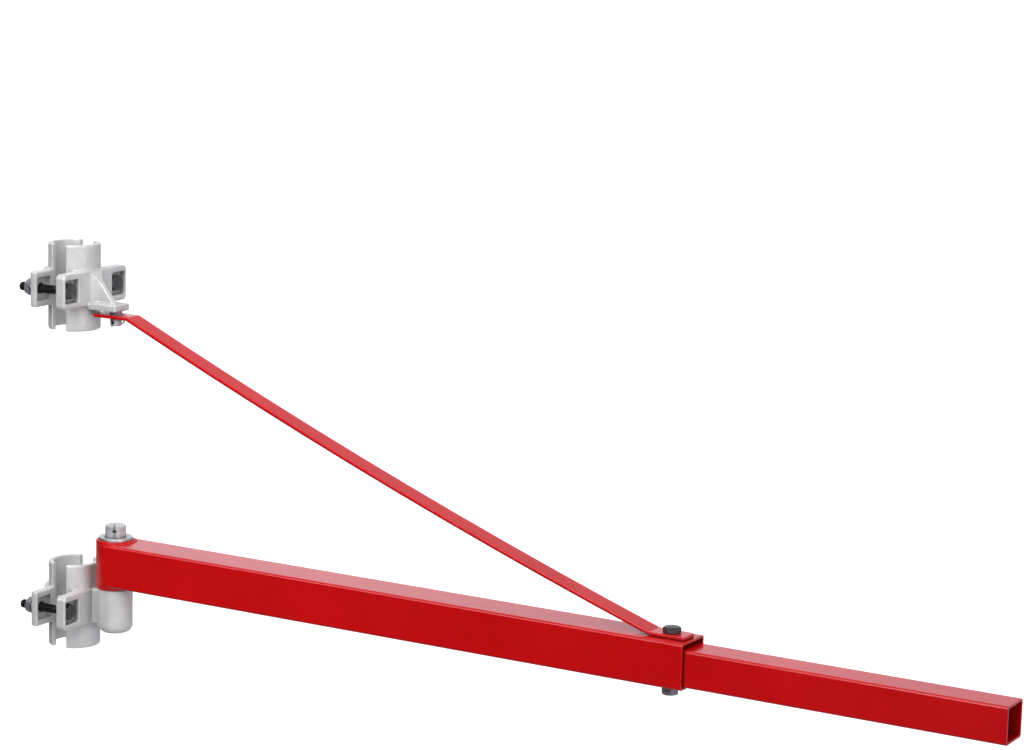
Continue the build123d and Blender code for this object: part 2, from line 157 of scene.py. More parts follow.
# Finishes: tones in linear red, green and blue, among them colours of painted shade and of painted
# highlights
RED_TONES = ((0.53, 0.0022, 0.0034), (0.60, 0.0036, 0.0052))
RED_SPECK = (0.33, 0.003, 0.004)
# Painted shade in corners and inside the tubes
RED_CORNER_SHADE = (0.08, 0.0006, 0.0008)
RED_TUBE_INSIDE_SHADE = (0.035, 0.0006, 0.0008)
# Lighter edge colour: part wear, part painted highlight
RED_EDGE_WEAR_AND_HIGHLIGHT = (0.68, 0.05, 0.05)
RED_THICK = (0.42, 0.002, 0.003)
CAST_TONES = ((0.68, 0.676, 0.660), (0.80, 0.796, 0.774))
CAST_GRAIN = (0.58, 0.577, 0.564)
# Lighter edge colour: part wear, part painted highlight
CAST_EDGE_WEAR_AND_HIGHLIGHT = (0.92, 0.916, 0.892)
# Painted shade in recesses and corners
CAST_RECESS_SHADE = (0.20, 0.20, 0.196)
CAST_CORNER_SHADE = (0.08, 0.08, 0.079)
STEEL_TONES = ((0.58, 0.583, 0.588), (0.72, 0.721, 0.722))
# Painted shade in corners
STEEL_CORNER_SHADE = (0.02, 0.02, 0.02)
BLACK_TONES = ((0.06, 0.06, 0.062), (0.13, 0.13, 0.133))
BLACK_RUBBED = (0.30, 0.30, 0.31)
# Painted shade in corners and on a bolt's shank
BLACK_CORNER_SHADE = (0.012, 0.012, 0.013)
BLACK_SHANK_SHADE = (0.010, 0.010, 0.011)
DULL_TONES = ((0.23, 0.235, 0.25), (0.37, 0.37, 0.37))
# Painted shade in corners
DULL_CORNER_SHADE = (0.08, 0.08, 0.08)
ZINC_TONES = ((0.58, 0.60, 0.63), (0.74, 0.735, 0.715))
# Painted shade in corners
ZINC_CORNER_SHADE = (0.14, 0.14, 0.14)

# Shader tools: usual range of a noise, openness of a flat and of a recess, rays, a Mix node's colour sockets
NOISE_RANGE = (0.3, 0.7)
OPEN_RANGE = (0.85, 0.25)
SHADE_RAYS = 6
MIX_INPUTS = (6, 7)
MIX_OUTPUT = 2

# Stage: floor, with its size in metres, and the light of the studio with its wall, dark side and small lamp
FLOOR_DROP = 900.0
FLOOR_SIZE = 600.0
FLOOR_TONES = ((0.90, 0.90, 0.90), (0.93, 0.93, 0.93))
FLOOR_ROUGHNESS = 0.9
FLOOR_GLOW = 0.80
STUDIO_TINT = (0.94, 0.95, 1.03)
STUDIO_LIGHT = 0.48
WALL_SIDE = (-0.75, 0.65, 0.10)
WALL_SPREAD = (39.0, 18.0)
WALL_LIGHT = 0.95
SHADE_SIDE = (-0.85, -0.50, -0.15)
SHADE_SPREAD = (68.0, 34.0)
SHADE_LIGHT = 0.08
GLINT_SIDE = (-0.49, -0.735, 0.461)
GLINT_SPREAD = (11.0, 6.0)
GLINT_LIGHT = 5.5

# Soft lights: name, place, target and size in metres, power in watts, spread, mirrored by the part or not
LIGHTS = (
    ("key", (0.6, -2.2, 1.8), (0, 0, 0.2), 1.6, 19.7, 105, True),
    ("top", (0.1, 0.3, 2.5), (0.4, 0, 0.1), 2.2, 22, 180, False),
    ("fill", (3.0, -1.0, 0.9), (0, 0, 0.2), 1.6, 2.0, 60, True),
)


# Small tools

def unit(axis):
    """World direction of axis 0, 1 or 2."""
    direction = Vector((0, 0, 0))
    direction[axis] = 1
    return direction


def body_of(node):
    """Name of the body that a node belongs to."""
    return frame["nodes"][node]["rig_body"]


def joined_copy(node):
    """Editable copy of a node's mesh with its doubled corners joined."""
    work = bmesh.new()
    work.from_mesh(frame["nodes"][node].data)
    bmesh.ops.remove_doubles(work, verts=work.verts, dist=JOIN_DISTANCE * MM)
    return work


def to_object(name, work):
    """Object from an editable mesh."""
    mesh = bpy.data.meshes.new(name)
    work.to_mesh(mesh)
    work.free()
    piece = bpy.data.objects.new(name, mesh)
    bpy.context.scene.collection.objects.link(piece)
    return piece


def apply_modifiers(piece):
    """Makes the result of a piece's modifiers its mesh."""
    graph = bpy.context.evaluated_depsgraph_get()
    mesh = bpy.data.meshes.new_from_object(piece.evaluated_get(graph))
    old = piece.data
    piece.modifiers.clear()
    piece.data = mesh
    bpy.data.meshes.remove(old)


def press_in(piece, depth):
    """Moves each point of a piece inwards by a depth that is a function of its place."""
    points = [(vertex.co.copy(), vertex.normal.copy()) for vertex in piece.data.vertices]
    flat = []
    for place, normal in points:
        flat.extend(place - normal * depth(place))
    piece.data.vertices.foreach_set("co", flat)
    piece.data.update()


def smooth_but_sharp(piece):
    """Shades a piece smooth, apart from edges sharper than the sharp angle."""
    piece.data.shade_smooth()
    piece.data.set_sharp_from_angle(angle=radians(SHARP_ANGLE))


def stand_for(piece, node, finish=None):
    """Puts a finished piece in a node's place, on its body and with its own finish or its slot's."""
    piece.data.materials.clear()
    piece.data.materials.append(MATERIALS[finish or SLOTS[node]])
    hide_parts(node)
    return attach(piece, body_of(node))


def add_grid(work, rings, place, closed):
    """Adds rings of points to a mesh: neighbours are joined, and the ends too if closed, or else capped."""
    rows = [[work.verts.new(place @ point) for point in ring] for ring in rings]
    pairs = list(zip(rows, rows[1:]))
    if closed:
        pairs.append((rows[-1], rows[0]))
    else:
        work.faces.new(rows[0])
        work.faces.new(rows[-1])
    for one, two in pairs:
        for k in range(len(one)):
            n = (k + 1) % len(one)
            work.faces.new((one[k], one[n], two[n], two[k]))


def grid_object(name, rings, place, closed):
    """Object from rings of points."""
    work = bmesh.new()
    add_grid(work, rings, place, closed)
    bmesh.ops.recalc_face_normals(work, faces=work.faces)
    piece = to_object(name, work)
    smooth_but_sharp(piece)
    return piece


def turned_place(node, along):
    """Frame, height and width of a turned piece.

    Z runs up the box's longest (max) or shortest (min) side, and X to a corner of a hexagon.
    """
    low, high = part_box(node)
    size = high - low
    axis = along(range(3), key=lambda k: size[k])
    across = max((k for k in range(3) if k != axis), key=lambda k: size[k])
    z = unit(axis)
    x = unit(across)
    y = z.cross(x)
    origin = (low + high) / 2
    origin[axis] = low[axis]
    place = Matrix((x, y, z)).transposed().to_4x4()
    place.translation = origin
    flats = min(size[k] for k in range(3) if k != axis)
    return place, size[axis], flats


def circle(radius, z):
    """Ring of points at a height, the radius a number or a function of the angle."""
    points = []
    for k in range(AROUND):
        angle = 2 * pi * k / AROUND
        r = radius(angle) if callable(radius) else radius
        points.append(Vector((r * cos(angle), r * sin(angle), z)))
    return points


# Shader tools

def new_material(name):
    """Material with its node tree, its main shader and the coordinates in metres."""
    material = bpy.data.materials.new(name)
    material.use_nodes = True
    nodes = material.node_tree.nodes
    shader = nodes["Principled BSDF"]
    coordinates = nodes.new("ShaderNodeTexCoord").outputs["Object"]
    return material, material.node_tree, shader, coordinates


def stretched(tree, coordinates, scale):
    """Coordinates scaled along each axis."""
    mapping = tree.nodes.new("ShaderNodeMapping")
    mapping.inputs["Scale"].default_value = scale
    tree.links.new(coordinates, mapping.inputs["Vector"])
    return mapping.outputs["Vector"]


def noise_of(tree, coordinates, cells, detail=3.0, rough=0.55):
    """Noise value, its scale in cells per metre."""
    texture = tree.nodes.new("ShaderNodeTexNoise")
    texture.inputs["Scale"].default_value = cells
    texture.inputs["Detail"].default_value = detail
    texture.inputs["Roughness"].default_value = rough
    tree.links.new(coordinates, texture.inputs["Vector"])
    return texture.outputs["Fac"]


def remap(tree, value, low, high, to_low, to_high):
    """Value moved from one range to another and kept inside it."""
    node = tree.nodes.new("ShaderNodeMapRange")
    sockets = ("From Min", "From Max", "To Min", "To Max")
    for socket, number in zip(sockets, (low, high, to_low, to_high)):
        node.inputs[socket].default_value = number
    tree.links.new(value, node.inputs["Value"])
    return node.outputs["Result"]


def math_of(tree, operation, one, two):
    """Sum or product of two values."""
    node = tree.nodes.new("ShaderNodeMath")
    node.operation = operation
    tree.links.new(one, node.inputs[0])
    tree.links.new(two, node.inputs[1])
    return node.outputs["Value"]


def mixed(tree, share, one, two):
    """Colour between two, each a colour or a socket."""
    node = tree.nodes.new("ShaderNodeMix")
    node.data_type = "RGBA"
    tree.links.new(share, node.inputs["Factor"])
    for socket, colour in zip(MIX_INPUTS, (one, two)):
        if isinstance(colour, tuple):
            node.inputs[socket].default_value = (*colour, 1)
        else:
            tree.links.new(colour, node.inputs[socket])
    return node.outputs[MIX_OUTPUT]


def edge_share(tree, radius, low, high):
    """How much a point lies on an outside edge: 1 where the surface turns within the radius."""
    bevel = tree.nodes.new("ShaderNodeBevel")
    bevel.samples = SHADE_RAYS
    bevel.inputs["Radius"].default_value = radius * MM
    geometry = tree.nodes.new("ShaderNodeNewGeometry")
    dot = tree.nodes.new("ShaderNodeVectorMath")
    dot.operation = "DOT_PRODUCT"
    tree.links.new(bevel.outputs["Normal"], dot.inputs[0])
    tree.links.new(geometry.outputs["Normal"], dot.inputs[1])
    return remap(tree, dot.outputs["Value"], high, low, 0, 1)


def hollow_share(tree, distance, own=False):
    """How deep a point lies in a recess, from 0 to 1, formed by any piece or by its own piece alone; it
    drives painted shade.
    """
    shade = tree.nodes.new("ShaderNodeAmbientOcclusion")
    shade.samples = SHADE_RAYS
    shade.only_local = own
    shade.inputs["Distance"].default_value = distance * MM
    return remap(tree, shade.outputs["AO"], *OPEN_RANGE, 0, 1)


def clouded(tree, value, tones):
    """Colour that drifts between two tones with a noise value."""
    return mixed(tree, remap(tree, value, *NOISE_RANGE, 0, 1), *tones)


def with_painted_shade(tree, colour, distance, most, dark):
    """Painted shade: colour that goes over to a dark one, at most by a share, in recesses of a size."""
    return mixed(tree, remap(tree, hollow_share(tree, distance), 0, 1, 0, most), colour, dark)


def set_roughness(tree, shader, value, limits):
    """Lets a noise value move a shader's roughness between two limits."""
    tree.links.new(remap(tree, value, *NOISE_RANGE, *limits), shader.inputs["Roughness"])


def bump_of(tree, shader, heights):
    """Chains bumps of (height, depth in millimetres, strength) onto a shader."""
    normal = None
    for height, depth, strength in heights:
        bump = tree.nodes.new("ShaderNodeBump")
        bump.inputs["Distance"].default_value = depth * MM
        bump.inputs["Strength"].default_value = strength
        tree.links.new(height, bump.inputs["Height"])
        if normal is not None:
            tree.links.new(normal, bump.inputs["Normal"])
        normal = bump.outputs["Normal"]
    tree.links.new(normal, shader.inputs["Normal"])


# Materials

def red_enamel(name, rough, gloss, coat):
    """Red enamel: faint tone changes, specks, smears, painted shade in corners and inside the tubes, and
    orange peel.
    """
    material, tree, shader, at = new_material(name)
    red = clouded(tree, noise_of(tree, at, cells=9, detail=4), RED_TONES)
    specks = remap(tree, noise_of(tree, at, cells=1900, detail=1), 0.74, 0.80, 0, 0.5)
    red = mixed(tree, specks, red, RED_SPECK)
    # Painted shade in corners, creases and gaps up to 6 mm deep
    red = with_painted_shade(tree, red, distance=6.0, most=0.85, dark=RED_CORNER_SHADE)
    # Painted shade inside the tubes, from the piece's own walls
    inside = remap(tree, hollow_share(tree, distance=40.0, own=True), 0.75, 0.95, 0, 0.9)
    red = mixed(tree, inside, red, RED_TUBE_INSIDE_SHADE)
    smears = noise_of(tree, stretched(tree, at, (0.25, 1, 1)), cells=70, detail=5, rough=0.65)
    tree.links.new(remap(tree, smears, 0.3, 0.75, *rough), shader.inputs["Roughness"])
    shader.inputs["Specular IOR Level"].default_value = gloss
    shader.inputs["Coat Weight"].default_value = coat
    shader.inputs["Coat Roughness"].default_value = 0.07
    peel = noise_of(tree, at, cells=620, detail=2, rough=0.5)
    waves = noise_of(tree, at, cells=38, detail=2, rough=0.5)
    bump_of(tree, shader, ((waves, 1.2, 0.08), (peel, 0.10, 0.12)))
    return material, tree, shader, at, red


def red_paint():
    """Red enamel with lighter edges, part wear and part painted highlight, for tubes and strap."""
    material, tree, shader, at, red = red_enamel("red_paint", rough=(0.13, 0.26), gloss=0.45, coat=0.3)
    patches = remap(tree, noise_of(tree, at, cells=160), 0.45, 0.7, 0, 1)
    # Lighter edges in patches: part wear, part painted highlight
    lighter_edges = math_of(tree, "MULTIPLY", edge_share(tree, radius=0.8, low=0.80, high=0.97), patches)
    red = mixed(tree, remap(tree, lighter_edges, 0, 1, 0, 0.3), red, RED_EDGE_WEAR_AND_HIGHLIGHT)
    tree.links.new(red, shader.inputs["Base Color"])
    return material


def weld_paint():
    """Red enamel that runs thick over the weld and the eye."""
    material, tree, shader, at, red = red_enamel("weld_paint", rough=(0.30, 0.42), gloss=0.28, coat=0.1)
    thick = remap(tree, noise_of(tree, at, cells=90), 0.35, 0.7, 0, 0.35)
    tree.links.new(mixed(tree, thick, red, RED_THICK), shader.inputs["Base Color"])
    return material


def cast_grey():
    """Satin grey casting: sand grain, cloudy tone, painted shade in recesses and corners, and brighter
    edges, part wear and part painted highlight.
    """
    material, tree, shader, at = new_material("cast_grey")
    grey = clouded(tree, noise_of(tree, at, cells=55, detail=5, rough=0.6), CAST_TONES)
    fine = remap(tree, noise_of(tree, at, cells=900, rough=0.6), 0.35, 0.7, 0, 0.3)
    grey = mixed(tree, fine, grey, CAST_GRAIN)
    # Brighter edges: part wear, part painted highlight
    lighter_edges = remap(tree, edge_share(tree, radius=1.4, low=0.82, high=0.985), 0, 1, 0, 0.6)
    grey = mixed(tree, lighter_edges, grey, CAST_EDGE_WEAR_AND_HIGHLIGHT)
    # Painted shade in recesses up to 18 mm and in corners up to 3 mm deep
    grey = with_painted_shade(tree, grey, distance=18.0, most=0.65, dark=CAST_RECESS_SHADE)
    grey = with_painted_shade(tree, grey, distance=3.0, most=0.85, dark=CAST_CORNER_SHADE)
    tree.links.new(grey, shader.inputs["Base Color"])
    set_roughness(tree, shader, noise_of(tree, at, cells=210, detail=4), (0.30, 0.46))
    shader.inputs["Metallic"].default_value = 0.33
    grain = noise_of(tree, at, cells=1500, rough=0.6)
    lumps = noise_of(tree, at, cells=260, rough=0.5)
    bump_of(tree, shader, ((lumps, 0.5, 0.22), (grain, 0.14, 0.30)))
    return material


def polished_steel():
    """Bright steel turned on a lathe: fine rings round the upright axis, and painted shade in corners."""
    material, tree, shader, at = new_material("polished_steel")
    rings = noise_of(tree, stretched(tree, at, (40, 40, 5200)), cells=1, detail=2, rough=0.5)
    steel = clouded(tree, noise_of(tree, at, cells=120, detail=4), STEEL_TONES)
    # Painted shade in corners up to 6 mm deep
    steel = with_painted_shade(tree, steel, distance=6.0, most=0.97, dark=STEEL_CORNER_SHADE)
    tree.links.new(steel, shader.inputs["Base Color"])
    set_roughness(tree, shader, rings, (0.30, 0.46))
    shader.inputs["Metallic"].default_value = 0.5
    bump_of(tree, shader, ((rings, 0.05, 0.20),))
    return material


def black_steel():
    """Blackened bolt steel: dull, mottled, worn grey on its edges, with painted shade in corners and on a
    bolt's shank.
    """
    material, tree, shader, at = new_material("black_steel")
    black = clouded(tree, noise_of(tree, at, cells=300, detail=4, rough=0.6), BLACK_TONES)
    patches = remap(tree, noise_of(tree, at, cells=420), 0.35, 0.65, 0.2, 1)
    lighter_edges = math_of(tree, "MULTIPLY", edge_share(tree, radius=0.5, low=0.75, high=0.96), patches)
    black = mixed(tree, remap(tree, lighter_edges, 0, 1, 0, 0.6), black, BLACK_RUBBED)
    # Painted shade in corners up to 2 mm deep
    black = with_painted_shade(tree, black, distance=2.0, most=0.9, dark=BLACK_CORNER_SHADE)
    # Painted shade, nearly black, on the marked points of a bolt's shank
    shank = tree.nodes.new("ShaderNodeAttribute")
    shank.attribute_name = SHANK
    black = mixed(tree, remap(tree, shank.outputs["Fac"], 0, 1, 0, 0.85), black, BLACK_SHANK_SHADE)
    tree.links.new(black, shader.inputs["Base Color"])
    set_roughness(tree, shader, noise_of(tree, at, cells=700), (0.22, 0.40))
    shader.inputs["Metallic"].default_value = 0.7
    bump_of(tree, shader, ((noise_of(tree, at, cells=1600, detail=2), 0.06, 0.25),))
    return material


def plated(name, tones, corner, cells, limits, metallic):
    """Plated steel: cloudy tone, painted shade in corners and stamped grain."""
    material, tree, shader, at = new_material(name)
    grey = clouded(tree, noise_of(tree, at, cells=cells, detail=4, rough=0.6), tones)
    # Painted shade in corners up to 2.5 mm deep
    grey = with_painted_shade(tree, grey, distance=2.5, most=0.7, dark=corner)
    tree.links.new(grey, shader.inputs["Base Color"])
    set_roughness(tree, shader, noise_of(tree, at, cells=520, detail=4), limits)
    shader.inputs["Metallic"].default_value = metallic
    bump_of(tree, shader, ((noise_of(tree, at, cells=1100), 0.08, 0.25),))
    return material


def dull_zinc():
    """Old zinc on nuts and cotter pins: darker grey, mottled."""
    return plated("dull_zinc", DULL_TONES, DULL_CORNER_SHADE, cells=240, limits=(0.28, 0.45), metallic=0.6)


def zinc():
    """Zinc plated steel: pale, slightly blue and straw."""
    return plated("zinc", ZINC_TONES, ZINC_CORNER_SHADE, cells=190, limits=(0.26, 0.46), metallic=0.9)


SLOTS = {part["node"]: part["material_slot"] for part in frame["record"]["subparts"]}
FINISHES = (red_paint, weld_paint, cast_grey, polished_steel, black_steel, zinc, dull_zinc)
MATERIALS = {make.__name__: make() for make in FINISHES}


# Castings

def uneven_depth(at):
    """How far the skin of a casting lies in at a place."""
    return CAST_UNEVEN * MM * (0.5 + 0.5 * noise.noise(at / (CAST_UNEVEN_SPAN * MM)))


def softened_casting(node):
    """Casting with the node's shape, its corners run out and its skin slightly uneven."""
    piece = to_object(node + "_cast", joined_copy(node))
    remesh = piece.modifiers.new("skin", "REMESH")
    remesh.mode = "VOXEL"
    remesh.voxel_size = CAST_VOXEL * MM
    smooth = piece.modifiers.new("soft", "SMOOTH")
    smooth.factor = CAST_SMOOTH_SHARE
    smooth.iterations = CAST_SMOOTHING
    thin = piece.modifiers.new("thin", "DECIMATE")
    thin.ratio = CAST_KEEP
    apply_modifiers(piece)
    press_in(piece, uneven_depth)
    piece.data.shade_smooth()
    return stand_for(piece, node)


# Sawn, rolled and turned pieces

def eased(node, width, finish=None, held=True, start=None):
    """Copy of a node with its sharp edges rounded, from a start along X if given.

    Where the width is held, the node's shortest edges can make it smaller.
    """
    work = joined_copy(node)
    bmesh.ops.dissolve_limit(work, angle_limit=radians(FLAT_ANGLE), verts=work.verts, edges=work.edges)
    limit = radians(SHARP_ANGLE)
    sharp = [e for e in work.edges if len(e.link_faces) == 2 and e.calc_face_angle(0) > limit]
    if start is not None:
        sharp = [e for e in sharp if min(corner.co.x for corner in e.verts) > start]
    bmesh.ops.bevel(work, geom=sharp, offset=width * MM, segments=EDGE_STEPS, profile=0.5,
                    affect="EDGES", clamp_overlap=held)
    piece = to_object(node + "_eased", work)
    smooth_but_sharp(piece)
    normals = piece.modifiers.new("normals", "WEIGHTED_NORMAL")
    normals.weight = FLAT_FACE_WEIGHT
    normals.keep_sharp = True
    apply_modifiers(piece)
    return stand_for(piece, node, finish)


# Weld bead

def eye_ring():
    """Axis, along X, and radius of the eye."""
    low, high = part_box("arm_eye")
    return (low.x + high.x) / 2, (high.x - low.x) / 2


def ground_side(side):
    """Rings up one side of the weld, ground smooth from the tube's wall onto the eye.

    The run has the tube's round corners at its top and bottom.
    """
    axis, radius = eye_ring()
    tube_low, tube_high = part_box("arm_tube")
    corner = TUBE_CORNER * MM
    turn = radians(WELD_TURN)
    pull = WELD_PULL * MM
    proud = tube_high.y + WELD_PROUD * MM
    start = Vector((tube_low.x, proud))
    end = Vector((axis - radius * sin(turn), radius * cos(turn)))
    leads = (start, start - Vector((pull, 0)), end + pull * Vector((cos(turn), sin(turn))), end)
    curve = [Vector((tube_low.x + WELD_OVERLAP * MM, tube_high.y - WELD_PROUD * MM))]
    for k in range(WELD_STEPS + 1):
        t = k / WELD_STEPS
        shares = ((1 - t) ** 3, 3 * t * (1 - t) ** 2, 3 * t * t * (1 - t), t ** 3)
        curve.append(sum((share * lead for share, lead in zip(shares, leads)), Vector((0, 0))))
    levels = []
    for k in range(WELD_STEPS + 1):
        angle = pi / 2 * k / WELD_STEPS
        levels.append((tube_low.z + corner * (1 - sin(angle)), corner * (1 - cos(angle))))
    levels = levels[::-1] + [(tube_low.z + tube_high.z - z, inward) for z, inward in levels]
    rings = []
    for z, inward in levels:
        outer = [Vector((p.x, side * (p.y - inward), z)) for p in curve]
        inner = [Vector((p.x, side * (p.y - WELD_DEPTH * corner), z)) for p in reversed(curve)]
        rings.append(outer + inner)
    return rings


def rippled_bead(foot, rise):
    """Rings along a bead half round the eye on a level face of the tube, its ripples curved by the run."""
    axis, radius = eye_ring()
    leg = WELD_LEG * MM
    sweep = radians(WELD_SWEEP)
    count = round(2 * sweep * radius / (WELD_RIPPLE_LENGTH * MM)) * WELD_RIPPLE_STEPS
    slope = Vector((abs(rise), leg)).normalized()
    up = 1 if rise > 0 else -1
    root = foot - WELD_SINK * rise
    rings = []
    for k in range(count + 1):
        angle = sweep * (2 * k / count - 1)
        size = min(1, WELD_TIP_SIZE + (sweep - abs(angle)) / radians(WELD_TAPER))
        section = [(radius - leg / 2, root), (radius + size * leg, root)]
        for s in range(WELD_STEPS + 1):
            across = s / WELD_STEPS
            lag = WELD_RIPPLE_LAG * (across - 0.5) ** 2
            crest = 0.5 + 0.5 * cos(2 * pi * (k / WELD_RIPPLE_STEPS + lag))
            out = size * MM * (WELD_BULGE * sin(pi * across) - WELD_RIPPLE * crest)
            section.append((radius + size * leg * (1 - across) + out * slope.x,
                            foot + size * rise * across + up * out * slope.y))
        section.append((radius - leg / 2, foot + size * rise))
        rings.append([Vector((axis + r * cos(angle), r * sin(angle), z)) for r, z in section])
    return rings


def weld_runs(node):
    """Weld: a rippled bead over and under the tube, and a ground run up each side."""
    low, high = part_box("arm_tube")
    above, below = WELD_RISES
    runs = [rippled_bead(high.z, above * MM), rippled_bead(low.z, -below * MM)]
    runs += [ground_side(-1), ground_side(1)]
    work = bmesh.new()
    for rings in runs:
        add_grid(work, rings, Matrix.Identity(4), False)
    bmesh.ops.recalc_face_normals(work, faces=work.faces)
    piece = to_object(node + "_runs", work)
    smooth_but_sharp(piece)
    return stand_for(piece, node, "weld_paint")


# Threaded fasteners

def hexagon_radius(flats, limit):
    """Radius of a hexagon as a function of the angle, no larger than a limit."""
    def radius(angle):
        return min(flats / 2 / cos(angle % (pi / 3) - pi / 6), limit)
    return radius


def hexagon_rings(flats, bottom, top, bevel_bottom):
    """Rings up a hexagon's sides, its corners turned off at the top, and at the bottom too for a nut."""
    corner = flats / 2 / cos(pi / 6)
    face = flats / 2 * HEX_FACE_SHARE
    rise = (corner - face) * tan(radians(HEX_BEVEL_ANGLE))
    steps = [k / HEX_BEVEL_STEPS for k in range(HEX_BEVEL_STEPS + 1)]
    limits = [face + (corner - face) * s for s in steps]
    rings = []
    if bevel_bottom:
        rings += [circle(hexagon_radius(flats, r), bottom + rise * s) for r, s in zip(limits, steps)]
    else:
        rings.append(circle(hexagon_radius(flats, corner), bottom))
    down = list(zip(limits, steps))[::-1]
    return rings + [circle(hexagon_radius(flats, r), top - rise * s) for r, s in down]


def thread_ring(bolt, z, end):
    """Ring of a threaded shank at a height above its bevelled tip, the thread running out at an end."""
    major = bolt["diameter"] / 2 * MM
    pitch = bolt["pitch"] * MM
    depth = THREAD_DEPTH_SHARE * pitch
    depth *= min(1, max(0, (end - z) / pitch))
    tip = major - THREAD_DEPTH_SHARE * pitch + z

    def radius(angle):
        phase = (z / pitch - angle / (2 * pi)) % 1
        rise = min(1, max(0, THREAD_FLANK * abs(phase - 0.5) - THREAD_ROOT))
        return min(major - depth * (1 - rise), tip)

    return circle(radius, z)


def threaded_bolt(node, bolt):
    """Hexagon bolt with a washer face, a plain stretch under the head and a thread to its bevelled tip."""
    place, total, flats = turned_place(node, max)
    major = bolt["diameter"] / 2 * MM
    seat = total - bolt["head"] * MM
    end = seat * (1 - PLAIN_SHARE)
    step = bolt["pitch"] * MM / THREAD_STEPS
    neck = UNDERHEAD_ROUND * MM
    middle = ROUND_MIDDLE * neck
    face = flats / 2 * HEX_FACE_SHARE
    hex_start = seat + WASHER_FACE * MM
    rings = [thread_ring(bolt, k * step, end) for k in range(int(end / step) + 1)]
    rings += [circle(major, end + step), circle(major, seat - neck)]
    rings.append(circle(major + middle, seat - middle))
    shank = len(rings) * AROUND
    rings += [circle(major + neck, seat), circle(face, seat), circle(face, hex_start)]
    rings += hexagon_rings(flats, hex_start, total, False)
    piece = grid_object(node + "_threaded", rings, place, False)
    # Marks the shank's points, which black_steel turns nearly black as painted shade
    shank_shade = piece.data.attributes.new(SHANK, "FLOAT", "POINT")
    shank_shade.data.foreach_set("value", [1.0] * shank + [0.0] * (len(piece.data.vertices) - shank))
    return stand_for(piece, node)


def countersunk_nut(node, bolt):
    """Hexagon nut, both faces turned, its bore countersunk."""
    place, height, flats = turned_place(node, min)
    bore = (bolt["diameter"] / 2 + BORE_PLAY) * MM
    sink = COUNTERSINK * MM
    rings = hexagon_rings(flats, 0, height, True)
    rings += [circle(bore + sink, height), circle(bore, height - sink)]
    rings += [circle(bore, sink), circle(bore + sink, 0)]
    return stand_for(grid_object(node + "_turned", rings, place, True), node, "dull_zinc")


def bore_of(node, place):
    """Smallest distance of a ring's mesh from its axis."""
    back = place.inverted()
    return min((back @ vertex.co).xy.length for vertex in frame["nodes"][node].data.vertices)


def stamped_washer(node):
    """Flat washer with the rolled rim of a stamping on one face."""
    place, height, outer = turned_place(node, min)
    bore = bore_of(node, place)
    rim = WASHER_ROUND * MM
    middle = ROUND_MIDDLE * rim
    corners = [(bore, 0), (outer / 2 - middle, 0), (outer / 2, middle), (outer / 2, height - rim)]
    corners += [(outer / 2 - middle, height - middle), (outer / 2 - rim, height)]
    corners += [(bore + rim, height), (bore + middle, height - middle), (bore, height - rim)]
    rings = [circle(r, z) for r, z in corners]
    return stand_for(grid_object(node + "_stamped", rings, place, True), node)


def split_washer(node):
    """Split spring washer, tightened flat, with a slanted slit and rounded edges."""
    place, height, outer = turned_place(node, min)
    bore = bore_of(node, place)
    edge = SPRING_ROUND * MM
    section = [(bore, edge), (bore + edge, 0), (outer / 2 - edge, 0), (outer / 2, edge)]
    section += [(r, height - z) for r, z in section[::-1]]
    half = SPRING_SLIT / 2 * MM
    rings = []
    for k in range(AROUND + 1):
        ring = []
        for r, z in section:
            lean = SPRING_SLANT * MM * (z / height - 0.5)
            start = (half + lean) / r
            sweep = 2 * pi - 2 * half / r
            angle = start + sweep * k / AROUND
            ring.append(Vector((r * cos(angle), r * sin(angle), z)))
        rings.append(ring)
    return stand_for(grid_object(node + "_split", rings, place, False), node)


# Cotter pins

def split_pin(node, bar, turn, leg_up):
    """Half round wire doubled to a ring behind a bar, through it, its ends bent up and down in front."""
    low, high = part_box(node)
    leg_down = high.z - low.z - leg_up
    bar_low, bar_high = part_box(bar)
    radius = (bar_high.x - bar_low.x) / 2
    place = Matrix.Translation(((bar_low.x + bar_high.x) / 2, 0, high.z - leg_up))
    place @= Matrix.Rotation(radians(turn), 4, "Z")
    wire = COTTER_WIRE * MM
    ring = COTTER_RING * MM
    near = -radius - COTTER_NEAR * wire
    far = radius + COTTER_FAR * wire
    lead = far + COTTER_LEAD * ring
    bend = COTTER_BEND * wire
    cut = COTTER_CUT * wire
    part = COTTER_PART * MM

    def leg(side, length):
        """Points (y, z) of one leg from its bent end to the ring."""
        points = [(near - bend, side * length)]
        for k in range(COTTER_STEPS + 1):
            bent = pi / 2 * k / COTTER_STEPS
            points.append((near - bend * cos(bent), side * (part + bend * (1 - sin(bent)))))
        return points + [(far, 0)]

    loop = []
    loop_steps = 4 * COTTER_STEPS
    for k in range(loop_steps + 1):
        round_at = radians(COTTER_RING_SWEEP) - radians(2 * COTTER_RING_SWEEP) * k / loop_steps
        loop.append((lead + ring * (1 + cos(round_at)), ring * sin(round_at)))
    path = leg(1, leg_up - cut) + loop + leg(-1, leg_down - cut)[::-1]
    rings = []
    for k, (y, z) in enumerate(path):
        before = Vector(path[max(k - 1, 0)])
        after = Vector(path[min(k + 1, len(path) - 1)])
        ahead = (after - before).normalized()
        side = Vector((-ahead.y, ahead.x))
        ring_points = []
        for s in range(COTTER_STEPS + 1):
            round_at = pi * s / COTTER_STEPS
            out = wire * sin(round_at)
            ring_points.append(Vector((wire * cos(round_at), y + side.x * out, z + side.y * out)))
        rings.append(ring_points)
    return stand_for(grid_object(node + "_wire", rings, place, False), node, "dull_zinc")


# Dressing every node, the arm tube's edges only where they lie clear of the weld

